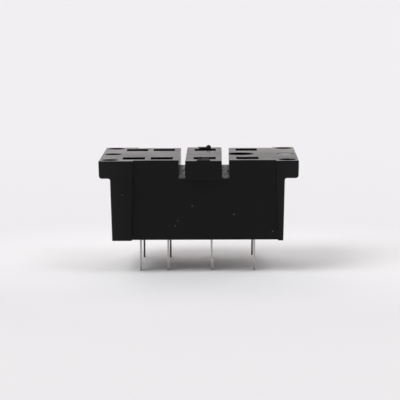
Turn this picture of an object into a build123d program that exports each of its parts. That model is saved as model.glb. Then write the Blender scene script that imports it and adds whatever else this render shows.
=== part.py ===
from build123d import *
import os
from math import pi

# Black two-row socket that is soldered to a printed circuit board and holds a small plug-in relay.
# One moulding carries eight stamped contacts, pushed in from above, whose tails go through the board.
#
# All lengths are in millimetres and all angles in degrees. Z = 0 is the face that sits on the board and
# +Z points to the relay. X runs along the socket, with X = 0 midway between the flange's ends, and Y runs
# across the two rows of contacts, with the front row at -Y.

# Moulding, overall
FLANGE_LENGTH = 29.4
BLOCK_DEPTH = 21.6
BODY_HEIGHT = 11.8
FLANGE_THICKNESS = 2.6
PANEL_RECESS = 1.0
LEFT_EAR = 1.62
RIGHT_EAR = 2.0
LEFT_BLOCK_LENGTH = 5.12
RIGHT_BLOCK_LENGTH = 3.38
SIDE_DRAFT = 1.4
FRONT_DRAFT = 0.5

# Middle block and the two notches beside it
MIDDLE_BLOCK_LENGTH = 5.38
MIDDLE_BLOCK_CENTRE_X = 0.71
LEFT_NOTCH_WIDTH = 0.96
RIGHT_NOTCH_WIDTH = 1.09
NOTCH_DEPTH = 2.65

# Edge rounding
UPRIGHT_EDGE_RADIUS = 0.25
EAR_UNDER_RADIUS = 0.45
EAR_ROOT_RADIUS = 0.3
BOTTOM_EDGE_RADIUS = 0.06
DECK_EDGE_RADIUS = 0.12

# Terminal pattern of the relay: columns along X, two rows along Y
FIRST_COLUMN_X = -9.645
PAIR_STEP = 4.15
COLUMN_STEP = 6.35
ROW_SPACING = 13.15

# Openings, pockets and the slits that the tails leave by
OPENING_LENGTH = 3.3
OPENING_WIDTH = 3.4
POCKET_FLOOR = 1.8
SLIT_END_CLEARANCE = 0.15
SLIT_SIDE_CLEARANCE = 0.12
SOLDER_RELIEF_LENGTH = 1.5
SOLDER_RELIEF_WIDTH = 2.4
SOLDER_RELIEF_DEPTH = 0.4

# Round well in the right-hand deck
WELL_CENTRE_X = 6.2
WELL_DIAMETER = 4.1
WELL_DEPTH = 9.0

# Ejector marks on the two end decks, one of them almost flush
MARK_DIAMETER = 2.6
MARK_DEPTH = 0.3
FLUSH_MARK_DEPTH = 0.05
MARK_EDGE_DISTANCE = 1.65
MARK_SPACING = 8.9

# Small rim lugs between the middle block's outer edges and its openings
LUG_OUTER_LENGTH = 2.0
LUG_INNER_LENGTH = 1.45
LUG_OUTER_HEIGHT = 0.08
LUG_INNER_HEIGHT = 0.19
LUG_SETBACK = 0.05
LUG_ROOT = 0.3
NUB_SETBACK = 0.08
FRONT_NUB_DIAMETER = 0.44
FRONT_NUB_HEIGHT = 0.42
FRONT_NUB_OFFSET = 0.46
REAR_NUB_DIAMETER = 0.76
REAR_NUB_HEIGHT = 0.56
REAR_NUB_OFFSET = 0.66

# Contact, a strip bent to a clip, with its tail cut from the same strip
SHEET = 0.25
CLIP_WIDTH = 3.0
CLIP_HALF_SPAN = 0.94
CLIP_TOP_BELOW_DECK = 0.9
THROAT_GAP = 0.4
THROAT_BELOW_TOP = 2.3
FLARE_HALF_SPAN = 0.9
STRAIGHT_ABOVE_BEND = 1.7
LEG_RADIUS = 1.5
THROAT_RADIUS = 0.7
TAIL_WIDTH = 1.2
TAIL_LENGTH = 5.0
TAIL_POINT = 0.35
CUT_GAP = 0.1
BARB_START = 0.3
BARB_HEIGHT = 0.9
BARB_LAND = 0.2

# How far some contacts sit to one side in their pockets, along X
PLAY = {"2_front": -0.07, "2_rear": -0.05, "4_front": 0.06}

# Tails that handling has left out of line or short: the tip's shift along X, and the length missing
TIP_SHIFTS = {"3_front": 0.14, "4_rear": -0.08}
SHORTFALLS = {"4_rear": 0.3}

# Distance within which two levels or lines count as the same
SAME_LEVEL = 0.01

# Places that follow from the sizes above
FLANGE_LEFT = -FLANGE_LENGTH / 2
FLANGE_RIGHT = FLANGE_LENGTH / 2
BODY_LEFT = FLANGE_LEFT + LEFT_EAR
BODY_RIGHT = FLANGE_RIGHT - RIGHT_EAR
LEFT_STEP = FLANGE_LEFT + LEFT_BLOCK_LENGTH
RIGHT_STEP = FLANGE_RIGHT - RIGHT_BLOCK_LENGTH
MIDDLE_LEFT = MIDDLE_BLOCK_CENTRE_X - MIDDLE_BLOCK_LENGTH / 2
MIDDLE_RIGHT = MIDDLE_BLOCK_CENTRE_X + MIDDLE_BLOCK_LENGTH / 2
PANEL_DEPTH = BLOCK_DEPTH - 2 * PANEL_RECESS
EAR_UNDERSIDE = BODY_HEIGHT - FLANGE_THICKNESS
NOTCH_FLOOR = BODY_HEIGHT - NOTCH_DEPTH
COLUMNS = [FIRST_COLUMN_X] + [FIRST_COLUMN_X + PAIR_STEP + step * COLUMN_STEP for step in range(3)]
ROWS = {"front": -ROW_SPACING / 2, "rear": ROW_SPACING / 2}
BEND_CENTRE = POCKET_FLOOR + CLIP_HALF_SPAN + SHEET / 2
CLIP_TOP = BODY_HEIGHT - CLIP_TOP_BELOW_DECK
THROAT_HEIGHT = CLIP_TOP - THROAT_BELOW_TOP
THROAT_HALF_SPAN = (THROAT_GAP + SHEET) / 2
WINDOW_TOP = BEND_CENTRE + (BEND_CENTRE + TAIL_LENGTH - pi * CLIP_HALF_SPAN)


def drafted_block(left, right, depth, bottom, side_draft=SIDE_DRAFT):
    """Block that is full size at the deck and whose sides lean in towards the board."""
    height = BODY_HEIGHT - bottom
    block = Pos((left + right) / 2, 0, BODY_HEIGHT - height / 2) * Box(right - left, depth, height)
    deck = -Plane.XY.offset(BODY_HEIGHT)
    for axis, angle in ((Axis.Y, FRONT_DRAFT), (Axis.X, side_draft)):
        if angle:
            sides = block.faces().filter_by(lambda face: abs(face.normal_at().dot(axis.direction)) > 0.9)
            block = draft(sides, deck, angle)
    return block


def outer_form():
    """The moulding's outer form with its two notches, all edges still sharp."""
    form = drafted_block(BODY_LEFT, BODY_RIGHT, PANEL_DEPTH, 0)
    form += drafted_block(BODY_LEFT, LEFT_STEP, BLOCK_DEPTH, 0)
    form += drafted_block(RIGHT_STEP, BODY_RIGHT, BLOCK_DEPTH, 0)
    form += drafted_block(FLANGE_LEFT, LEFT_STEP, BLOCK_DEPTH, EAR_UNDERSIDE)
    form += drafted_block(RIGHT_STEP, FLANGE_RIGHT, BLOCK_DEPTH, EAR_UNDERSIDE)
    form += drafted_block(MIDDLE_LEFT, MIDDLE_RIGHT, BLOCK_DEPTH, NOTCH_FLOOR, side_draft=0)
    notches = ((MIDDLE_LEFT - LEFT_NOTCH_WIDTH, LEFT_NOTCH_WIDTH), (MIDDLE_RIGHT, RIGHT_NOTCH_WIDTH))
    for left, width in notches:
        form -= Pos(left + width / 2, 0, BODY_HEIGHT) * Box(width, 2 * BLOCK_DEPTH, 2 * NOTCH_DEPTH)
    return form


def faces_at(form, height):
    """Level faces of a form at one height."""
    level = form.faces().filter_by(Axis.Z)
    return level.filter_by_position(Axis.Z, height - SAME_LEVEL, height + SAME_LEVEL)


def ear_edges(form, near_x):
    """The edge under each ear that lies nearest to the given X, one value for each ear."""
    across = form.edges().filter_by(Axis.Y)
    under = across.filter_by_position(Axis.Z, EAR_UNDERSIDE - SAME_LEVEL, EAR_UNDERSIDE + SAME_LEVEL)
    return [under.sort_by(lambda edge: abs(edge.center().X - x))[0] for x in near_x]


def block_corners(form):
    """The upright edges at the front and rear of the end blocks and the middle block."""
    upright = form.edges().filter_by(lambda edge: abs(edge.tangent_at(0.5).Z) > 0.9)
    return upright.filter_by(lambda edge: abs(abs(edge.center().Y) - BLOCK_DEPTH / 2) < PANEL_RECESS / 2)


def rounded(form):
    """The outer form with its edges rounded as the mould leaves them."""
    form = fillet(ear_edges(form, (BODY_LEFT, BODY_RIGHT)), EAR_ROOT_RADIUS)
    form = fillet(ear_edges(form, (FLANGE_LEFT, FLANGE_RIGHT)), EAR_UNDER_RADIUS)
    form = fillet(block_corners(form), UPRIGHT_EDGE_RADIUS)
    form = fillet(faces_at(form, 0)[0].outer_wire().edges(), BOTTOM_EDGE_RADIUS)
    deck_edges = [edge for deck in faces_at(form, BODY_HEIGHT) for edge in deck.outer_wire().edges()]
    return fillet(deck_edges, DECK_EDGE_RADIUS)


def terminals():
    """Name, X and Y of each terminal of the relay, front row first."""
    return [(f"{column}_{row}", x, y) for row, y in ROWS.items() for column, x in enumerate(COLUMNS, 1)]


def pockets():
    """Opening and pocket of each contact, from the deck down to the pocket's floor."""
    height = BODY_HEIGHT - POCKET_FLOOR
    pocket = Box(OPENING_LENGTH, OPENING_WIDTH, 2 * height)
    return [Pos(x, y, BODY_HEIGHT) * pocket for _, x, y in terminals()]


def tail_passage():
    """Slit through the pocket's floor for a tail, with a wider relief for the solder under it."""
    slit = Box(SHEET + 2 * SLIT_SIDE_CLEARANCE, TAIL_WIDTH + 2 * SLIT_END_CLEARANCE, 2 * POCKET_FLOOR)
    relief = Box(SOLDER_RELIEF_LENGTH, SOLDER_RELIEF_WIDTH, 2 * SOLDER_RELIEF_DEPTH)
    return Pos(CLIP_HALF_SPAN, 0, 0) * (slit + relief)


def ejector_marks():
    """Round marks of the ejector pins, three along each end deck, the right-hand middle one shallow."""
    sunk = Cylinder(MARK_DIAMETER / 2, 2 * MARK_DEPTH)
    flush = Cylinder(MARK_DIAMETER / 2, 2 * FLUSH_MARK_DEPTH)
    left, right = FLANGE_LEFT + MARK_EDGE_DISTANCE, FLANGE_RIGHT - MARK_EDGE_DISTANCE
    marks = [Pos(x, y, BODY_HEIGHT) * sunk for x in (left, right) for y in (-MARK_SPACING, MARK_SPACING)]
    return marks + [Pos(left, 0, BODY_HEIGHT) * sunk, Pos(right, 0, BODY_HEIGHT) * flush]


def rim_lug(nub_diameter, nub_height, nub_offset):
    """Low tapered lug in front of an opening, with a round nub at its left, on the X of its own centre."""
    outer_y = -(BLOCK_DEPTH / 2 - DECK_EDGE_RADIUS)
    inner_y = -(ROW_SPACING / 2 + OPENING_WIDTH / 2 + LUG_SETBACK)
    half_outer, half_inner = LUG_OUTER_LENGTH / 2, LUG_INNER_LENGTH / 2
    outer = ((-half_outer, outer_y), (half_outer, outer_y))
    inner = ((half_inner, inner_y), (-half_inner, inner_y))
    plan = Polygon(*outer, *inner, align=None)
    outer_end = ((outer_y, -LUG_ROOT), (outer_y, LUG_OUTER_HEIGHT))
    inner_end = ((inner_y, LUG_INNER_HEIGHT), (inner_y, -LUG_ROOT))
    side = Plane.YZ * Polygon(*outer_end, *inner_end, align=None)
    wedge = extrude(plan, LUG_ROOT, both=True) & extrude(side, half_outer, both=True)
    radius = nub_diameter / 2
    stem_height = nub_height - radius + LUG_ROOT
    stem = Pos(0, 0, stem_height / 2 - LUG_ROOT) * Cylinder(radius, stem_height)
    nub = stem + Pos(0, 0, nub_height - radius) * Sphere(radius)
    return Pos(0, 0, BODY_HEIGHT) * (wedge + Pos(-nub_offset, inner_y - radius - NUB_SETBACK, 0) * nub)


def housing():
    """The black moulding: outer form, openings, well, marks and rim lugs."""
    form = rounded(outer_form()) - pockets()
    form -= [Pos(x, y, 0) * tail_passage() for _, x, y in terminals()]
    form -= Pos(WELL_CENTRE_X, 0, BODY_HEIGHT) * Cylinder(WELL_DIAMETER / 2, 2 * WELL_DEPTH)
    form -= ejector_marks()
    front_lug = rim_lug(FRONT_NUB_DIAMETER, FRONT_NUB_HEIGHT, FRONT_NUB_OFFSET)
    rear_lug = Rot(0, 0, 180) * rim_lug(REAR_NUB_DIAMETER, REAR_NUB_HEIGHT, REAR_NUB_OFFSET)
    return form + [Pos(MIDDLE_BLOCK_CENTRE_X, 0, 0) * lug for lug in (front_lug, rear_lug)]


def clip():
    """Bent strip of a contact at its full width: two sprung legs joined by a round bend."""
    def leg(side):
        return FilletPolyline(
            (side * CLIP_HALF_SPAN, BEND_CENTRE),
            (side * CLIP_HALF_SPAN, BEND_CENTRE + STRAIGHT_ABOVE_BEND),
            (side * THROAT_HALF_SPAN, THROAT_HEIGHT),
            (side * FLARE_HALF_SPAN, CLIP_TOP),
            radius=(LEG_RADIUS, THROAT_RADIUS),
        )

    bend = CenterArc((0, BEND_CENTRE), CLIP_HALF_SPAN, 180, 180)
    section = Plane.XZ * trace([leg(-1), bend, leg(1)], SHEET)
    return extrude(section, CLIP_WIDTH / 2, both=True)


def tail_cut():
    """Opening that the tail leaves in the strip: through the bend and up the left leg."""
    width = TAIL_WIDTH + 2 * CUT_GAP
    reach = CLIP_HALF_SPAN + SHEET
    through_bend = Pos(0, 0, BEND_CENTRE - reach / 2) * Box(2 * reach, width, reach)
    up_leg = Box(reach, width, WINDOW_TOP - BEND_CENTRE)
    window = Pos(-reach / 2, 0, (BEND_CENTRE + WINDOW_TOP) / 2) * up_leg
    return through_bend + window


def in_tail_plane(*points):
    """Flat piece of the sheet, drawn in Y and Z, in the plane of the right leg and the tail."""
    outline = Plane.YZ.offset(CLIP_HALF_SPAN) * Polygon(*points, align=None)
    return extrude(outline, SHEET / 2, both=True)


def tail(tip_shift, shortfall):
    """Solder tail with a blunt point, from the right leg's foot down through the board."""
    half, tip = TAIL_WIDTH / 2, TAIL_WIDTH / 2 - TAIL_POINT
    end = shortfall - TAIL_LENGTH
    shoulder = end + TAIL_POINT
    left_edge = ((-half, BEND_CENTRE), (-half, shoulder), (-tip, end))
    right_edge = ((tip, end), (half, shoulder), (half, BEND_CENTRE))
    outline = (*left_edge, *right_edge)
    if not tip_shift:
        return in_tail_plane(*outline)
    left, right = CLIP_HALF_SPAN - SHEET / 2, CLIP_HALF_SPAN + SHEET / 2
    upper = ((left, 0), (left, BEND_CENTRE), (right, BEND_CENTRE), (right, 0))
    bent = Polygon(*upper, (right + tip_shift, end), (left + tip_shift, end), align=None)
    face_on = extrude(Plane.YZ.offset(CLIP_HALF_SPAN) * Polygon(*outline, align=None), SHEET, both=True)
    return extrude(Plane.XZ * bent, TAIL_WIDTH, both=True) & face_on


def barb(side):
    """Barb on one edge of the right leg, which reaches the pocket's wall and keeps the contact in."""
    root, wall = side * CLIP_WIDTH / 2, side * OPENING_WIDTH / 2
    start = BEND_CENTRE + BARB_START
    top = start + BARB_HEIGHT
    return in_tail_plane((root, start), (wall, top - BARB_LAND), (wall, top), (root, top))


def contact(name):
    """One stamped contact about its terminal's X and Y."""
    solder_tail = tail(TIP_SHIFTS.get(name, 0), SHORTFALLS.get(name, 0))
    return clip() - tail_cut() + solder_tail + barb(-1) + barb(1)


os.makedirs("parts", exist_ok=True)
export_step(housing(), "parts/housing.step")
for name, x, y in terminals():
    export_step(Pos(x + PLAY.get(name, 0), y, 0) * contact(name), f"parts/contact_{name}.step")
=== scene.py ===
"""Looks of a black moulded relay socket that stands on its solder tails.

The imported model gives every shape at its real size, in metres, with Z = 0 on the face that sits on the board.
This script gives the moulding and the eight stamped contacts their finishes, adds the dust and the torn
plastic that are too fine for the model, and sets the studio: pale paper, five softboxes and the camera.
"""

from __future__ import annotations

import logging
from dataclasses import dataclass, field
from enum import Enum
from math import cos, pi, radians, sin
from typing import Any

import bmesh
import bpy
from mathutils import Matrix, Vector


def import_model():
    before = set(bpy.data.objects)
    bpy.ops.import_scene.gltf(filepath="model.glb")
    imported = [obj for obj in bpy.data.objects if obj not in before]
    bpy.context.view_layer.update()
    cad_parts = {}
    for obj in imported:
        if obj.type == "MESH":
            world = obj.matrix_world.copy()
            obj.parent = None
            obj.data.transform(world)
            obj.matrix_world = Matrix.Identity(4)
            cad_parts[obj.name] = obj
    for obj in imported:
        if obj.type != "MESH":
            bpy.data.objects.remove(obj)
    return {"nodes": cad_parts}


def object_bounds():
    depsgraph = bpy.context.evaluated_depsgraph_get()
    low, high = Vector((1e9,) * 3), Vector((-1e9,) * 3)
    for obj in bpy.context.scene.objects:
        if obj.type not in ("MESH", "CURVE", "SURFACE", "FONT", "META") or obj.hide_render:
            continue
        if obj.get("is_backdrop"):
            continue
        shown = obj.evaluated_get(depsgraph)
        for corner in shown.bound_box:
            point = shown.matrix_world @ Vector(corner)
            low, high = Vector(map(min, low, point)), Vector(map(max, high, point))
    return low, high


MM = 0.001
PHOTO_PIXELS = 400
LOG = logging.getLogger("relay_socket")

# Nearly all of a noise's values lie between these two
NOISE_LOW, NOISE_HIGH = 0.3, 0.7

Colour = tuple[float, float, float, float]
Span = tuple[float, float]
Tree = bpy.types.NodeTree
Socket = bpy.types.NodeSocket


class Row(Enum):
    """The two rows of contacts, seen from the camera."""

    FRONT = "front"
    REAR = "rear"


def linear(hex_code: str) -> Colour:
    """Turns an sRGB hex colour into linear light.

    Args:
        hex_code: Colour such as "#1b1b1c".

    Returns:
        Red, green, blue and an alpha of 1.
    """
    values = [int(hex_code[i : i + 2], 16) / 255 for i in (1, 3, 5)]
    red, green, blue = (v / 12.92 if v <= 0.04045 else ((v + 0.055) / 1.055) ** 2.4 for v in values)
    return red, green, blue, 1.0


def add_node(
    tree: Tree,
    kind: str,
    values: dict[str | int, Any] | None = None,
    links: dict[str | int, Socket] | None = None,
    **settings: Any,
) -> bpy.types.Node:
    """Adds a node to a tree.

    Args:
        tree: Node tree of a material or of the world.
        kind: Blender's name of the node's type.
        values: Value of each input that isn't linked, by name or number.
        links: Output socket that feeds each linked input, by name or number.
        **settings: Properties of the node itself, such as its operation.

    Returns:
        The new node.
    """
    node = tree.nodes.new(kind)
    for name, value in settings.items():
        setattr(node, name, value)
    for key, value in (values or {}).items():
        node.inputs[key].default_value = value
    for key, socket in (links or {}).items():
        tree.links.new(socket, node.inputs[key])
    return node


def empty_material(name: str) -> bpy.types.Material:
    """Makes a material whose node tree is empty.

    Args:
        name: Name of the material.

    Returns:
        The new material.
    """
    material = bpy.data.materials.new(name)
    material.use_nodes = True
    material.node_tree.nodes.clear()
    return material


def square_faces(tree: Tree, axis: str, slanted: float, square: float) -> Socket:
    """Finds the faces that are square to an axis, from either side.

    Args:
        tree: The material's node tree.
        axis: "X", "Y" or "Z".
        slanted: Cosine of the angle to the axis at which the mask starts.
        square: Cosine at which the mask is full.

    Returns:
        A mask that is 1 on the square faces.
    """
    normal = add_node(tree, "ShaderNodeNewGeometry").outputs["Normal"]
    part = add_node(tree, "ShaderNodeSeparateXYZ", links={"Vector": normal}).outputs[axis]
    likeness = add_node(tree, "ShaderNodeMath", links={0: part}, operation="ABSOLUTE").outputs["Value"]
    limits = {"From Min": slanted, "From Max": square}
    return add_node(tree, "ShaderNodeMapRange", limits, {"Value": likeness}).outputs["Result"]


@dataclass(frozen=True)
class Speck:
    """A grain of dust on the front panel, by its place along the socket and its height above the board."""

    x_mm: float
    z_mm: float
    radius_mm: float


@dataclass(frozen=True)
class Surface:
    """What the parts of the moulding's material share.

    The first five sockets give a point's place, as object coordinates and in millimetres. The next two are
    noise, and the others are masks: level faces, the torn lugs, the smooth disc and the notches' floors.
    """

    place: Socket
    in_mm: Socket
    along: Socket
    across: Socket
    height: Socket
    clouds: Socket
    grain: Socket
    level: Socket
    torn: Socket
    disc: Socket
    notch_floor: Socket


@dataclass(frozen=True)
class MouldedPolyester:
    """Black glass-filled PBT, injection moulded in a spark-eroded tool.

    Spark erosion leaves a fine even grain that scatters what it reflects face on. So the plastic is nearly
    black from the front, and turns grey where it is seen at a low angle against the pale paper. Corners are
    rubbed a little paler and carry a painted highlight, which is wider at the ends, and the ends are painted
    paler as a painted sheen. A pin of the tool has left one smooth disc on the deck, and the torn lugs are
    rough and dull. Hands have polished the ends and dulled the deck's two front corners. The real grain is
    about
    0.03 mm wide, which is too fine to show, so it is drawn coarser. So is the coarse grain in the notches.
    """

    name: str = "black_moulded_pbt"

    # A plastic's usual index of refraction. The grain swallows most gloss, so the specular level is low
    ior: float = 1.5
    specular_level: float = 0.135

    # Colours: the plastic and its cloudier places, the painted sheen of the ends, rubbed corners with a painted
    # highlight, torn lugs and dust
    colour: str = "#0c0d0f"
    cloud_colour: str = "#0f1011"
    painted_end_sheen_colour: str = "#171718"
    rubbed_and_highlight_colour: str = "#3a3939"
    torn_colour: str = "#2a2929"
    dust_colour: str = "#8a8784"

    # Roughness of each kind of place and how far it strays. The ends' polish is taken off it, and what the
    # deck's dulled corners have is added
    roughness: float = 0.28
    roughness_spread: float = 0.05
    end_polish: float = 0.05
    dulled_right_roughness: float = 0.12
    dulled_left_roughness: float = 0.045
    wall_roughness: float = 0.2
    floor_roughness: float = 0.44
    floor_roughness_spread: float = 0.12
    torn_roughness: float = 0.85
    disc_roughness: float = 0.06

    # Noise: clouds in the plastic, the tool's grain, and the coarse grain of the notches' floors
    cloud_mm: float = 5.0
    cloud_detail: float = 3.0
    grain_mm: float = 0.17
    grain_detail: float = 2.0
    grain_depth_mm: float = 0.004
    floor_grain_mm: float = 0.3
    floor_grain_detail: float = 1.0
    floor_grain_stretch: float = 4.0
    floor_grain_depth_mm: float = 0.035
    floor_grain_span: Span = (0.35, 0.65)
    noise_roughness: float = 0.58

    # Levels of the model
    deck_mm: float = 11.8
    notch_floor_mm: float = 9.15
    panel_mm: float = 9.75

    # Where a mask starts and where it is full: distances from the middle, places along X and Y, heights above
    # the deck and the notches' floors, depths behind the front panel, and cosines
    end_mm: Span = (10.6, 13.6)
    polish_mm: Span = (4.0, 12.0)
    dulled_right_mm: Span = (5.5, 11.5)
    dulled_left_mm: Span = (-5.5, -11.5)
    dulled_front_mm: Span = (3.0, -5.5)
    dulled_edge_mm: Span = (-10.5, -6.5)
    torn_above_deck_mm: Span = (0.015, 0.05)
    disc_above_deck_mm: Span = (-0.2, -0.1)
    end_highlight_above_deck_mm: Span = (-0.3, -0.5)
    coarse_above_floor_mm: Span = (0.3, 0.1)
    speck_behind_panel_mm: Span = (0.3, 0.1)
    level_cosines: Span = (0.9, 0.99)
    corner_cosines: Span = (0.985, 0.86)

    # Rubbed corners with a painted highlight: the strip's width, and the wider strip of painted highlight at
    # the ends below the deck
    rub_and_highlight_radius_mm: float = 0.14
    end_highlight_radius_mm: float = 0.36
    end_highlight_mm: Span = (12.0, 12.3)
    corner_samples: int = 4

    # Smooth disc of the ejector pin: its X, its Y and its radius, and the width of its soft edge
    disc_mm: tuple[float, float, float] = (13.05, 0.0, 1.28)
    disc_edge_mm: float = 0.08

    # Dust: the pattern's cells, the few of them that hold a spot, and single grains on the front panel. A
    # core is the share of a spot's radius within which it shows in full
    dust_spacing_mm: float = 1.9
    dust_radius_mm: float = 0.05
    dust_core: float = 0.4
    dust_strength: float = 0.6
    dust_threshold: float = 0.8
    speck_core: float = 0.5
    specks: tuple[Speck, ...] = (
        Speck(-1.0, 5.03, 0.065),
        Speck(5.15, 3.78, 0.08),
        Speck(-3.12, 2.82, 0.06),
        Speck(-3.51, 2.07, 0.07),
        Speck(10.87, 1.25, 0.065),
        Speck(-11.2, 6.8, 0.055),
    )

    def build(self) -> bpy.types.Material:
        """Builds the material.

        Returns:
            The finish of the moulding.
        """
        material = empty_material(self.name)
        tree = material.node_tree
        surface = self._surface(tree)
        from_middle = add_node(
            tree, "ShaderNodeMath", links={0: surface.along}, operation="ABSOLUTE"
        ).outputs["Value"]
        shader = add_node(
            tree,
            "ShaderNodeBsdfPrincipled",
            {"IOR": self.ior, "Specular IOR Level": self.specular_level},
            {
                "Base Color": self._colour(tree, surface, from_middle),
                "Roughness": self._roughness(tree, surface, from_middle),
                "Normal": self._relief(tree, surface),
            },
        )
        add_node(tree, "ShaderNodeOutputMaterial", links={"Surface": shader.outputs["BSDF"]})
        return material

    def _surface(self, tree: Tree) -> Surface:
        """Reads a point's place, makes the noise and finds the spots that differ from the rest.

        Args:
            tree: The material's node tree.

        Returns:
            The sockets that the parts of the material share.
        """
        place = add_node(tree, "ShaderNodeTexCoord").outputs["Object"]
        in_mm = add_node(
            tree, "ShaderNodeMapping", {"Scale": (1 / MM, 1 / MM, 1 / MM)}, {"Vector": place}
        ).outputs["Vector"]
        along, across, height = add_node(tree, "ShaderNodeSeparateXYZ", links={"Vector": in_mm}).outputs
        clouds, grain = (
            add_node(
                tree,
                "ShaderNodeTexNoise",
                {"Scale": 1 / size_mm, "Detail": detail, "Roughness": self.noise_roughness},
                {"Vector": in_mm},
            ).outputs["Fac"]
            for size_mm, detail in ((self.cloud_mm, self.cloud_detail), (self.grain_mm, self.grain_detail))
        )
        start, end = self.torn_above_deck_mm
        torn = add_node(
            tree,
            "ShaderNodeMapRange",
            {"From Min": self.deck_mm + start, "From Max": self.deck_mm + end},
            {"Value": height},
        ).outputs["Result"]
        level = square_faces(tree, "Z", *self.level_cosines)
        start, end = self.coarse_above_floor_mm
        low = add_node(
            tree,
            "ShaderNodeMapRange",
            {"From Min": self.notch_floor_mm + start, "From Max": self.notch_floor_mm + end},
            {"Value": height},
        ).outputs["Result"]
        notch_floor = add_node(
            tree, "ShaderNodeMath", links={0: low, 1: level}, operation="MULTIPLY"
        ).outputs["Value"]
        return Surface(
            place=place,
            in_mm=in_mm,
            along=along,
            across=across,
            height=height,
            clouds=clouds,
            grain=grain,
            level=level,
            torn=torn,
            disc=self._smooth_disc(tree, place, height),
            notch_floor=notch_floor,
        )

    def _smooth_disc(self, tree: Tree, place: Socket, height: Socket) -> Socket:
        """Finds the smooth disc that one ejector pin, standing almost flush, has left on the deck.

        Args:
            tree: The material's node tree.
            place: A point's object coordinates.
            height: Its height in millimetres.

        Returns:
            A mask that is 1 on the disc.
        """
        x, y, radius = self.disc_mm
        centred = add_node(
            tree,
            "ShaderNodeMapping",
            {"Location": (-x, -y, 0.0), "Scale": (1 / MM, 1 / MM, 0.0)},
            {"Vector": place},
        ).outputs["Vector"]
        away = add_node(
            tree, "ShaderNodeVectorMath", links={0: centred}, operation="LENGTH"
        ).outputs["Value"]
        inside = add_node(
            tree,
            "ShaderNodeMapRange",
            {"From Min": radius, "From Max": radius - self.disc_edge_mm},
            {"Value": away},
        ).outputs["Result"]
        start, end = self.disc_above_deck_mm
        at_deck = add_node(
            tree,
            "ShaderNodeMapRange",
            {"From Min": self.deck_mm + start, "From Max": self.deck_mm + end},
            {"Value": height},
        ).outputs["Result"]
        return add_node(
            tree, "ShaderNodeMath", links={0: inside, 1: at_deck}, operation="MULTIPLY"
        ).outputs["Value"]

    def _colour(self, tree: Tree, surface: Surface, from_middle: Socket) -> Socket:
        """Lays painted sheen, rubbed corners with painted highlight, dust and torn lugs over the plastic's
        colour.

        Args:
            tree: The material's node tree.
            surface: What the parts of the material share.
            from_middle: Distance from the socket's middle along X, in millimetres.

        Returns:
            The colour that shows.
        """
        colour = add_node(
            tree,
            "ShaderNodeMix",
            {"A": linear(self.colour), "B": linear(self.cloud_colour)},
            {"Factor": surface.clouds},
            data_type="RGBA",
        ).outputs["Result"]
        # The ends are painted paler: a painted sheen where the light catches them
        painted_sheen_at_ends = add_node(
            tree,
            "ShaderNodeMapRange",
            {"From Min": self.end_mm[0], "From Max": self.end_mm[1]},
            {"Value": from_middle},
        ).outputs["Result"]
        # Corners are rubbed paler and also carry a painted highlight
        for upper_colour, mask in (
            (self.painted_end_sheen_colour, painted_sheen_at_ends),
            (self.rubbed_and_highlight_colour, self._rubbed_and_highlit_corners(tree, surface, from_middle)),
            (self.dust_colour, self._dust(tree, surface)),
            (self.dust_colour, self._specks(tree, surface)),
            (self.torn_colour, surface.torn),
        ):
            colour = add_node(
                tree,
                "ShaderNodeMix",
                {"B": linear(upper_colour)},
                {"Factor": mask, "A": colour},
                data_type="RGBA",
            ).outputs["Result"]
        return colour

    def _rubbed_and_highlit_corners(self, tree: Tree, surface: Surface, from_middle: Socket) -> Socket:
        """Finds corners by how far a rounded normal turns from the true one, broken up by the grain.

        Args:
            tree: The material's node tree.
            surface: What the parts of the material share.
            from_middle: Distance from the socket's middle along X, in millimetres.

        Returns:
            A mask that is 0 on flat faces, with a wider strip of painted highlight at the ends below the deck.
        """
        outer = add_node(
            tree,
            "ShaderNodeMapRange",
            {"From Min": self.end_highlight_mm[0], "From Max": self.end_highlight_mm[1]},
            {"Value": from_middle},
        ).outputs["Result"]
        start, end = self.end_highlight_above_deck_mm
        under_deck = add_node(
            tree,
            "ShaderNodeMapRange",
            {"From Min": self.deck_mm + start, "From Max": self.deck_mm + end},
            {"Value": surface.height},
        ).outputs["Result"]
        wide = add_node(
            tree, "ShaderNodeMath", links={0: outer, 1: under_deck}, operation="MULTIPLY"
        ).outputs["Value"]
        # The wider strip at the ends below the deck is a painted highlight on their upright edges
        radius = add_node(
            tree,
            "ShaderNodeMapRange",
            {"To Min": self.rub_and_highlight_radius_mm * MM, "To Max": self.end_highlight_radius_mm * MM},
            {"Value": wide},
        ).outputs["Result"]
        round_normal = add_node(
            tree, "ShaderNodeBevel", links={"Radius": radius}, samples=self.corner_samples
        ).outputs["Normal"]
        true_normal = add_node(tree, "ShaderNodeNewGeometry").outputs["Normal"]
        likeness = add_node(
            tree, "ShaderNodeVectorMath", links={0: round_normal, 1: true_normal}, operation="DOT_PRODUCT"
        ).outputs["Value"]
        turned = add_node(
            tree,
            "ShaderNodeMapRange",
            {"From Min": self.corner_cosines[0], "From Max": self.corner_cosines[1]},
            {"Value": likeness},
        ).outputs["Result"]
        return add_node(
            tree, "ShaderNodeMath", links={0: turned, 1: surface.grain}, operation="MULTIPLY"
        ).outputs["Value"]

    def _dust(self, tree: Tree, surface: Surface) -> Socket:
        """Scatters fine dust: a small spot in a few of the cells of a random pattern.

        Args:
            tree: The material's node tree.
            surface: What the parts of the material share.

        Returns:
            A mask that is highest in the middle of each spot.
        """
        cells = add_node(
            tree,
            "ShaderNodeTexVoronoi",
            {"Scale": 1 / self.dust_spacing_mm, "Randomness": 1.0},
            {"Vector": surface.in_mm},
        )
        reach = self.dust_radius_mm / self.dust_spacing_mm
        spot = add_node(
            tree,
            "ShaderNodeMapRange",
            {"From Min": reach, "From Max": reach * self.dust_core, "To Max": self.dust_strength},
            {"Value": cells.outputs["Distance"]},
        ).outputs["Result"]
        chosen = add_node(
            tree,
            "ShaderNodeMath",
            {1: self.dust_threshold},
            {0: cells.outputs["Color"]},
            operation="GREATER_THAN",
        ).outputs["Value"]
        return add_node(
            tree, "ShaderNodeMath", links={0: spot, 1: chosen}, operation="MULTIPLY"
        ).outputs["Value"]

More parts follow.
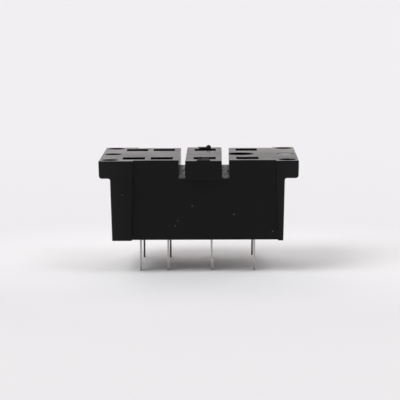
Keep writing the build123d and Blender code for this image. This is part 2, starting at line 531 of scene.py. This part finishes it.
    def _specks(self, tree: Tree, surface: Surface) -> Socket:
        """Places the single grains of dust that lie on the front panel.

        Args:
            tree: The material's node tree.
            surface: What the parts of the material share.

        Returns:
            A mask that is 1 in the middle of each grain.
        """
        start, end = self.speck_behind_panel_mm
        in_front = add_node(
            tree,
            "ShaderNodeMapRange",
            {"From Min": start - self.panel_mm, "From Max": end - self.panel_mm},
            {"Value": surface.across},
        ).outputs["Result"]
        spots = [self._speck(tree, surface, speck) for speck in self.specks]
        mask = spots[0]
        for spot in spots[1:]:
            mask = add_node(
                tree, "ShaderNodeMath", links={0: mask, 1: spot}, operation="MAXIMUM"
            ).outputs["Value"]
        return add_node(
            tree, "ShaderNodeMath", links={0: mask, 1: in_front}, operation="MULTIPLY"
        ).outputs["Value"]

    def _speck(self, tree: Tree, surface: Surface, speck: Speck) -> Socket:
        """Makes the spot of one grain of dust, seen from the front.

        Args:
            tree: The material's node tree.
            surface: What the parts of the material share.
            speck: The grain.

        Returns:
            A mask that is 1 in the middle of the grain, and at any depth behind it.
        """
        centred = add_node(
            tree,
            "ShaderNodeMapping",
            {"Location": (-speck.x_mm, 0.0, -speck.z_mm), "Scale": (1 / MM, 0.0, 1 / MM)},
            {"Vector": surface.place},
        ).outputs["Vector"]
        away = add_node(
            tree, "ShaderNodeVectorMath", links={0: centred}, operation="LENGTH"
        ).outputs["Value"]
        return add_node(
            tree,
            "ShaderNodeMapRange",
            {"From Min": speck.radius_mm, "From Max": speck.radius_mm * self.speck_core},
            {"Value": away},
        ).outputs["Result"]

    def _roughness(self, tree: Tree, surface: Surface, from_middle: Socket) -> Socket:
        """Works out how rough each place is.

        Args:
            tree: The material's node tree.
            surface: What the parts of the material share.
            from_middle: Distance from the socket's middle along X, in millimetres.

        Returns:
            The roughness.
        """
        moulded = add_node(
            tree,
            "ShaderNodeMapRange",
            {
                "From Min": NOISE_LOW,
                "From Max": NOISE_HIGH,
                "To Min": self.roughness - self.roughness_spread,
                "To Max": self.roughness + self.roughness_spread,
            },
            {"Value": surface.clouds},
        ).outputs["Result"]
        polish = add_node(
            tree,
            "ShaderNodeMapRange",
            {"From Min": self.polish_mm[0], "From Max": self.polish_mm[1], "To Max": self.end_polish},
            {"Value": from_middle},
        ).outputs["Result"]
        polished = add_node(
            tree, "ShaderNodeMath", links={0: moulded, 1: polish}, operation="SUBTRACT"
        ).outputs["Value"]
        corners = self._dulled_corners(tree, surface)
        dulled = add_node(
            tree, "ShaderNodeMath", links={0: polished, 1: corners}, operation="ADD"
        ).outputs["Value"]
        walls = add_node(
            tree,
            "ShaderNodeMix",
            {"B": self.wall_roughness},
            {"Factor": square_faces(tree, "X", *self.level_cosines), "A": dulled},
        ).outputs["Result"]
        eroded = add_node(
            tree,
            "ShaderNodeMix",
            links={"Factor": surface.notch_floor, "A": walls, "B": self._floor_grain(tree, surface)},
        ).outputs["Result"]
        worn = add_node(
            tree, "ShaderNodeMix", {"B": self.torn_roughness}, {"Factor": surface.torn, "A": eroded}
        ).outputs["Result"]
        return add_node(
            tree, "ShaderNodeMix", {"B": self.disc_roughness}, {"Factor": surface.disc, "A": worn}
        ).outputs["Result"]

    def _dulled_corners(self, tree: Tree, surface: Surface) -> Socket:
        """Finds the deck's two front corners, which handling has dulled.

        Args:
            tree: The material's node tree.
            surface: What the parts of the material share.

        Returns:
            The roughness that these corners have on top of the deck's own.
        """
        to_right, to_left = (
            add_node(
                tree,
                "ShaderNodeMapRange",
                {"From Min": start, "From Max": end, "To Max": roughness},
                {"Value": surface.along},
            ).outputs["Result"]
            for (start, end), roughness in (
                (self.dulled_right_mm, self.dulled_right_roughness),
                (self.dulled_left_mm, self.dulled_left_roughness),
            )
        )
        to_front, off_edge = (
            add_node(
                tree, "ShaderNodeMapRange", {"From Min": start, "From Max": end}, {"Value": surface.across}
            ).outputs["Result"]
            for start, end in (self.dulled_front_mm, self.dulled_edge_mm)
        )
        dulled = add_node(
            tree, "ShaderNodeMath", links={0: to_right, 1: to_left}, operation="ADD"
        ).outputs["Value"]
        for mask in (to_front, off_edge, surface.level):
            dulled = add_node(
                tree, "ShaderNodeMath", links={0: dulled, 1: mask}, operation="MULTIPLY"
            ).outputs["Value"]
        return dulled

    def _floor_grain(self, tree: Tree, surface: Surface) -> Socket:
        """Makes the streaky roughness of the notches' floors, drawn out along the notches.

        Args:
            tree: The material's node tree.
            surface: What the parts of the material share.

        Returns:
            The roughness.
        """
        streaks = add_node(
            tree,
            "ShaderNodeMapping",
            {"Scale": (1 / MM, 1 / (MM * self.floor_grain_stretch), 1 / MM)},
            {"Vector": surface.place},
        ).outputs["Vector"]
        pits = add_node(
            tree,
            "ShaderNodeTexNoise",
            {
                "Scale": 1 / self.floor_grain_mm,
                "Detail": self.floor_grain_detail,
                "Roughness": self.noise_roughness,
            },
            {"Vector": streaks},
        ).outputs["Fac"]
        return add_node(
            tree,
            "ShaderNodeMapRange",
            {
                "From Min": self.floor_grain_span[0],
                "From Max": self.floor_grain_span[1],
                "To Min": self.floor_roughness - self.floor_roughness_spread,
                "To Max": self.floor_roughness + self.floor_roughness_spread,
            },
            {"Value": pits},
        ).outputs["Result"]

    def _relief(self, tree: Tree, surface: Surface) -> Socket:
        """Raises the grain, most on the torn lugs and the notches' floors and not at all on the smooth disc.

        Args:
            tree: The material's node tree.
            surface: What the parts of the material share.

        Returns:
            The normal of the grained surface.
        """
        coarse = add_node(
            tree, "ShaderNodeMath", links={0: surface.notch_floor, 1: surface.torn}, operation="MAXIMUM"
        ).outputs["Value"]
        depth = add_node(
            tree,
            "ShaderNodeMapRange",
            {"To Min": self.grain_depth_mm * MM, "To Max": self.floor_grain_depth_mm * MM},
            {"Value": coarse},
        ).outputs["Result"]
        off_disc = add_node(
            tree, "ShaderNodeMix", {"B": 0.0}, {"Factor": surface.disc, "A": depth}
        ).outputs["Result"]
        return add_node(
            tree, "ShaderNodeBump", {"Strength": 1.0}, {"Height": surface.grain, "Distance": off_disc}
        ).outputs["Normal"]


@dataclass(frozen=True)
class TinnedBronze:
    """Phosphor bronze strip, tinned and then stamped.

    The tin is a soft silver with faint rolling lines along the strip, which are drawn coarser than the real
    ones, because those are too fine to show. Stamping came after tinning, so the cut edges show a little of
    the warm bronze under it. The last stretch of each tail is painted darker, as painted shade of the
    shadowed floor that it reflects.
    """

    name: str = "tinned_phosphor_bronze"

    # Colours: the tin, its dull patches, the cut edges and the tails' tips, painted darker as painted shade
    colour: str = "#e8e4e3"
    dull_colour: str = "#c0bcbb"
    cut_colour: str = "#dcd6d4"
    tip_shade_colour: str = "#a5a19f"

    # Where the tips' painted shade starts and is full, below the board's face, and the cosines of a cut edge
    shaded_tip_below_board_mm: Span = (3.5, 5.0)
    cut_cosines: Span = (0.9, 1.0)

    # Roughness of the brightest and the dullest tin, and the noise that spreads the two
    roughness: Span = (0.45, 0.65)
    patch_mm: float = 0.9
    patch_detail: float = 4.0
    patch_roughness: float = 0.6

    # Rolling lines
    line_mm: float = 0.05
    line_detail: float = 2.0
    line_stretch: float = 24.0
    line_depth_mm: float = 0.002
    line_strength: float = 0.5

    def build(self) -> bpy.types.Material:
        """Builds the material.

        Returns:
            The finish of the contacts.
        """
        material = empty_material(self.name)
        tree = material.node_tree
        place = add_node(tree, "ShaderNodeTexCoord").outputs["Object"]
        in_mm = add_node(
            tree, "ShaderNodeMapping", {"Scale": (1 / MM, 1 / MM, 1 / MM)}, {"Vector": place}
        ).outputs["Vector"]
        patches = add_node(
            tree,
            "ShaderNodeTexNoise",
            {"Scale": 1 / self.patch_mm, "Detail": self.patch_detail, "Roughness": self.patch_roughness},
            {"Vector": in_mm},
        ).outputs["Fac"]
        roughness = add_node(
            tree,
            "ShaderNodeMapRange",
            {
                "From Min": NOISE_LOW,
                "From Max": NOISE_HIGH,
                "To Min": self.roughness[0],
                "To Max": self.roughness[1],
            },
            {"Value": patches},
        ).outputs["Result"]
        shader = add_node(
            tree,
            "ShaderNodeBsdfPrincipled",
            {"Metallic": 1.0},
            {
                "Base Color": self._colour(tree, in_mm, patches),
                "Roughness": roughness,
                "Normal": self._rolling_lines(tree, place),
            },
        )
        add_node(tree, "ShaderNodeOutputMaterial", links={"Surface": shader.outputs["BSDF"]})
        return material

    def _colour(self, tree: Tree, in_mm: Socket, patches: Socket) -> Socket:
        """Lays the cut edges and the painted shade of the tips over the patchy tin.

        Args:
            tree: The material's node tree.
            in_mm: A point's place in millimetres.
            patches: Noise that tells bright tin from dull.

        Returns:
            The colour that shows.
        """
        colour = add_node(
            tree,
            "ShaderNodeMix",
            {"A": linear(self.colour), "B": linear(self.dull_colour)},
            {"Factor": patches},
            data_type="RGBA",
        ).outputs["Result"]
        cut = add_node(
            tree,
            "ShaderNodeMath",
            links={0: square_faces(tree, "Y", *self.cut_cosines), 1: patches},
            operation="MULTIPLY",
        ).outputs["Value"]
        height = add_node(tree, "ShaderNodeSeparateXYZ", links={"Vector": in_mm}).outputs["Z"]
        # The tips are painted darker: painted shade of the shadowed floor that they reflect
        start, end = self.shaded_tip_below_board_mm
        tip = add_node(
            tree, "ShaderNodeMapRange", {"From Min": -start, "From Max": -end}, {"Value": height}
        ).outputs["Result"]
        for upper_colour, mask in ((self.cut_colour, cut), (self.tip_shade_colour, tip)):
            colour = add_node(
                tree,
                "ShaderNodeMix",
                {"B": linear(upper_colour)},
                {"Factor": mask, "A": colour},
                data_type="RGBA",
            ).outputs["Result"]
        return colour

    def _rolling_lines(self, tree: Tree, place: Socket) -> Socket:
        """Raises the faint lines that rolling has left along the strip.

        Args:
            tree: The material's node tree.
            place: A point's object coordinates.

        Returns:
            The normal of the lined surface.
        """
        drawn_out = add_node(
            tree,
            "ShaderNodeMapping",
            {"Scale": (1 / MM, 1 / MM, 1 / (MM * self.line_stretch))},
            {"Vector": place},
        ).outputs["Vector"]
        lines = add_node(
            tree,
            "ShaderNodeTexNoise",
            {"Scale": 1 / self.line_mm, "Detail": self.line_detail},
            {"Vector": drawn_out},
        ).outputs["Fac"]
        return add_node(
            tree,
            "ShaderNodeBump",
            {"Strength": self.line_strength, "Distance": self.line_depth_mm * MM},
            {"Height": lines},
        ).outputs["Normal"]


@dataclass(frozen=True)
class StudioPaper:
    """White seamless background paper, matt, which takes soft shadows and shows no gloss.

    Its colour is palest round the object, a painted pool of light, and a little greyer towards the front.
    """

    name: str = "white_background_paper"
    near_colour: str = "#e7e6e8"
    far_colour: str = "#ebeaed"
    painted_pool_colour: str = "#fcfcfd"
    near_mm: float = -90.0
    far_mm: float = 200.0
    painted_pool_radius_mm: float = 57.0

    def build(self) -> bpy.types.Material:
        """Builds the material.

        Returns:
            The finish of the paper under the object.
        """
        material = empty_material(self.name)
        tree = material.node_tree
        place = add_node(tree, "ShaderNodeTexCoord").outputs["Object"]
        depth = add_node(tree, "ShaderNodeSeparateXYZ", links={"Vector": place}).outputs["Y"]
        away = add_node(
            tree,
            "ShaderNodeMapRange",
            {"From Min": self.near_mm * MM, "From Max": self.far_mm * MM},
            {"Value": depth},
        ).outputs["Result"]
        paper = add_node(
            tree,
            "ShaderNodeMix",
            {"A": linear(self.near_colour), "B": linear(self.far_colour)},
            {"Factor": away},
            data_type="RGBA",
        ).outputs["Result"]
        # A painted pool of light: the paper is paler the nearer it is to the object
        distance = add_node(
            tree, "ShaderNodeVectorMath", links={0: place}, operation="LENGTH"
        ).outputs["Value"]
        pool = add_node(
            tree,
            "ShaderNodeMapRange",
            {"From Min": self.painted_pool_radius_mm * MM, "From Max": 0.0},
            {"Value": distance},
            interpolation_type="SMOOTHSTEP",
        ).outputs["Result"]
        colour = add_node(
            tree,
            "ShaderNodeMix",
            {"B": linear(self.painted_pool_colour)},
            {"Factor": pool, "A": paper},
            data_type="RGBA",
        ).outputs["Result"]
        shader = add_node(tree, "ShaderNodeBsdfDiffuse", links={"Color": colour})
        add_node(tree, "ShaderNodeOutputMaterial", links={"Surface": shader.outputs["BSDF"]})
        return material


def finished_piece(name: str, shape: bmesh.types.BMesh, material: bpy.types.Material) -> bpy.types.Object:
    """Turns a finished bmesh into an object at the origin.

    Args:
        name: Name of the new object.
        shape: The mesh, in metres and in its place. It is freed.
        material: Finish of the whole piece.

    Returns:
        The new object, linked to the scene.
    """
    mesh = bpy.data.meshes.new(name)
    shape.to_mesh(mesh)
    shape.free()
    mesh.materials.append(material)
    piece = bpy.data.objects.new(name, mesh)
    bpy.context.scene.collection.objects.link(piece)
    return piece


@dataclass
class Housing:
    """The black moulding, which carries everything else."""

    node: str = "housing"
    finish: MouldedPolyester = field(default_factory=MouldedPolyester)

    def dress(self, nodes: dict[str, bpy.types.Object]) -> None:
        """Gives the moulding its finish.

        Args:
            nodes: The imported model's objects by name.
        """
        material = self.finish.build()
        for material_slot in nodes[self.node].material_slots:
            material_slot.material = material
        LOG.info("dressed %s in %s", self.node, material.name)


@dataclass
class ContactSet:
    """The eight stamped contacts, four to a row. The rear row is painted darker, as painted shade."""

    columns: int = 4
    front: TinnedBronze = field(default_factory=TinnedBronze)
    # The rear row's colours are painted shade: the same tin, darker, for the shadow under the moulding
    rear: TinnedBronze = TinnedBronze(
        name="shade_painted_phosphor_bronze",
        colour="#8a8785",
        dull_colour="#64615f",
        cut_colour="#716e6b",
        tip_shade_colour="#504d4b",
    )

    def dress(self, nodes: dict[str, bpy.types.Object]) -> None:
        """Gives every contact its finish.

        Args:
            nodes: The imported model's objects by name.
        """
        for row, finish in ((Row.FRONT, self.front), (Row.REAR, self.rear)):
            material = finish.build()
            for column in range(1, self.columns + 1):
                name = f"contact_{column}_{row.value}"
                for material_slot in nodes[name].material_slots:
                    material_slot.material = material
                LOG.info("dressed %s in %s", name, material.name)


@dataclass
class PhotoCamera:
    """Camera at the place that the photograph was taken from."""

    place_mm: tuple[float, float, float] = (2.987, -287.906, 39.591)
    pitch_down_deg: float = 6.9007
    yaw_left_deg: float = 0.5807
    roll_deg: float = -0.2907
    focal_pixels: float = 1904.19
    sensor_mm: float = 36.0
    nearest_m: float = 0.01
    farthest_m: float = 20.0

    def build(self) -> bpy.types.Object:
        """Builds the camera and makes it the scene's own.

        Returns:
            The camera.
        """
        data = bpy.data.cameras.new("photo_camera")
        data.sensor_fit = "HORIZONTAL"
        data.sensor_width = self.sensor_mm
        data.lens = self.focal_pixels / PHOTO_PIXELS * self.sensor_mm
        data.clip_start = self.nearest_m
        data.clip_end = self.farthest_m
        camera = bpy.data.objects.new("photo_camera", data)
        bpy.context.scene.collection.objects.link(camera)
        turn = (
            Matrix.Rotation(radians(self.yaw_left_deg), 4, "Z")
            @ Matrix.Rotation(radians(90 - self.pitch_down_deg), 4, "X")
            @ Matrix.Rotation(radians(self.roll_deg), 4, "Z")
        )
        camera.matrix_world = Matrix.Translation(Vector(self.place_mm) * MM) @ turn
        bpy.context.scene.camera = camera
        LOG.info("set %s at %s mm", camera.name, self.place_mm)
        return camera


@dataclass(frozen=True)
class Softbox:
    """A round soft light, far enough away to reach the whole object alike.

    Its share is the light that it gives the open floor, where 1 shows a colour as it is written. Its tint is
    a hex colour, of which only the hue counts.
    """

    name: str
    bearing_deg: float
    height_deg: float
    spread_deg: float
    share: float
    tint: str
    seen_in_gloss: bool

    def build(self) -> bpy.types.Object:
        """Builds the light.

        Returns:
            The light, linked to the scene.
        """
        bearing, height = radians(self.bearing_deg), radians(self.height_deg)
        towards = Vector((cos(height) * sin(bearing), cos(height) * cos(bearing), sin(height)))
        data = bpy.data.lights.new(self.name, "SUN")
        data.angle = radians(self.spread_deg)
        red, green, blue, _ = linear(self.tint)
        data.color = (red / green, 1.0, blue / green)
        data.energy = self.share * pi / sin(height)
        light = bpy.data.objects.new(self.name, data)
        light.visible_glossy = self.seen_in_gloss
        bpy.context.scene.collection.objects.link(light)
        light.matrix_world = towards.to_track_quat("Z", "Y").to_matrix().to_4x4()
        LOG.info("hung %s", self.name)
        return light


@dataclass
class Studio:
    """Pale paper, a softbox at the front left, a small one at the right, three behind, and pale surroundings.

    Bearings are measured from +Y, which is behind the object, towards +X. The surroundings are dim in front,
    where the camera stands. The level is the light on the open floor, where 1 shows a colour as written.
    """

    floor_size_m: float = 12.0
    paper: StudioPaper = field(default_factory=StudioPaper)
    softboxes: tuple[Softbox, ...] = (
        Softbox("front_left_softbox", 235.0, 45.0, 38.0, 0.3, "#f9fafa", True),
        Softbox("right_softbox", 120.0, 52.0, 30.0, 0.09, "#fafafa", True),
        Softbox("rear_softbox", 0.0, 24.0, 40.0, 0.1, "#fff7f4", False),
        Softbox("rear_left_softbox", 330.0, 26.0, 40.0, 0.08, "#fff7f4", False),
        Softbox("rear_right_softbox", 45.0, 14.0, 30.0, 0.055, "#fff7f4", False),
    )
    level: float = 1.05
    surroundings_colour: str = "#f3edee"
    fill_colour: str = "#f1f0f2"
    front_reflection: float = 0.1
    front_to_rear: Span = (-0.6, 0.2)

    def build(self, floor_height: float) -> None:
        """Builds the floor, the softboxes and the world.

        Args:
            floor_height: Height that the object stands at, in metres.
        """
        self._floor(floor_height)
        for softbox in self.softboxes:
            softbox.build()
        self._world()

    def _floor(self, height: float) -> None:
        """Lays the paper at the tails' tips.

        Args:
            height: Height of the paper, in metres.
        """
        shape = bmesh.new()
        bmesh.ops.create_grid(shape, x_segments=1, y_segments=1, size=self.floor_size_m / 2)
        bmesh.ops.translate(shape, verts=shape.verts, vec=(0, 0, height))
        floor = finished_piece("paper_floor", shape, self.paper.build())
        floor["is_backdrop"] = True
        LOG.info("laid the paper at %.2f mm", height / MM)

    def _world(self) -> None:
        """Makes the surroundings: pale to the camera and in gloss, and a plain fill for matt surfaces."""
        world = bpy.data.worlds.new("studio")
        bpy.context.scene.world = world
        world.use_nodes = True
        tree = world.node_tree
        tree.nodes.clear()
        rays = add_node(tree, "ShaderNodeLightPath").outputs
        direction = add_node(tree, "ShaderNodeTexCoord").outputs["Generated"]
        backwards = add_node(tree, "ShaderNodeSeparateXYZ", links={"Vector": direction}).outputs["Y"]
        in_gloss = add_node(
            tree,
            "ShaderNodeMapRange",
            {
                "From Min": self.front_to_rear[0],
                "From Max": self.front_to_rear[1],
                "To Min": self.front_reflection,
            },
            {"Value": backwards},
        ).outputs["Result"]
        lamps = sum(softbox.share for softbox in self.softboxes)
        fill = (self.level - lamps) / linear(self.fill_colour)[1]
        lit = add_node(
            tree, "ShaderNodeMix", {"A": fill}, {"Factor": rays["Is Glossy Ray"], "B": in_gloss}
        ).outputs["Result"]
        seen = add_node(
            tree,
            "ShaderNodeMath",
            links={0: rays["Is Camera Ray"], 1: rays["Is Transmission Ray"]},
            operation="MAXIMUM",
        ).outputs["Value"]
        strength = add_node(
            tree, "ShaderNodeMix", {"B": 1.0}, {"Factor": seen, "A": lit}
        ).outputs["Result"]
        looked_at = add_node(
            tree, "ShaderNodeMath", links={0: rays["Is Glossy Ray"], 1: seen}, operation="MAXIMUM"
        ).outputs["Value"]
        colour = add_node(
            tree,
            "ShaderNodeMix",
            {"A": linear(self.fill_colour), "B": linear(self.surroundings_colour)},
            {"Factor": looked_at},
            data_type="RGBA",
        ).outputs["Result"]
        background = add_node(tree, "ShaderNodeBackground", links={"Color": colour, "Strength": strength})
        add_node(tree, "ShaderNodeOutputWorld", links={"Surface": background.outputs["Background"]})


def main() -> None:
    """Loads the model, dresses it and sets the studio around it."""
    logging.basicConfig(level=logging.INFO, format="%(name)s: %(message)s")
    bpy.context.scene.view_settings.view_transform = "Standard"
    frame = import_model()
    model_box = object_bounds()
    PhotoCamera().build()
    Housing().dress(frame["nodes"])
    ContactSet().dress(frame["nodes"])
    Studio().build(floor_height=model_box[0].z)


if __name__ == "__main__":
    main()
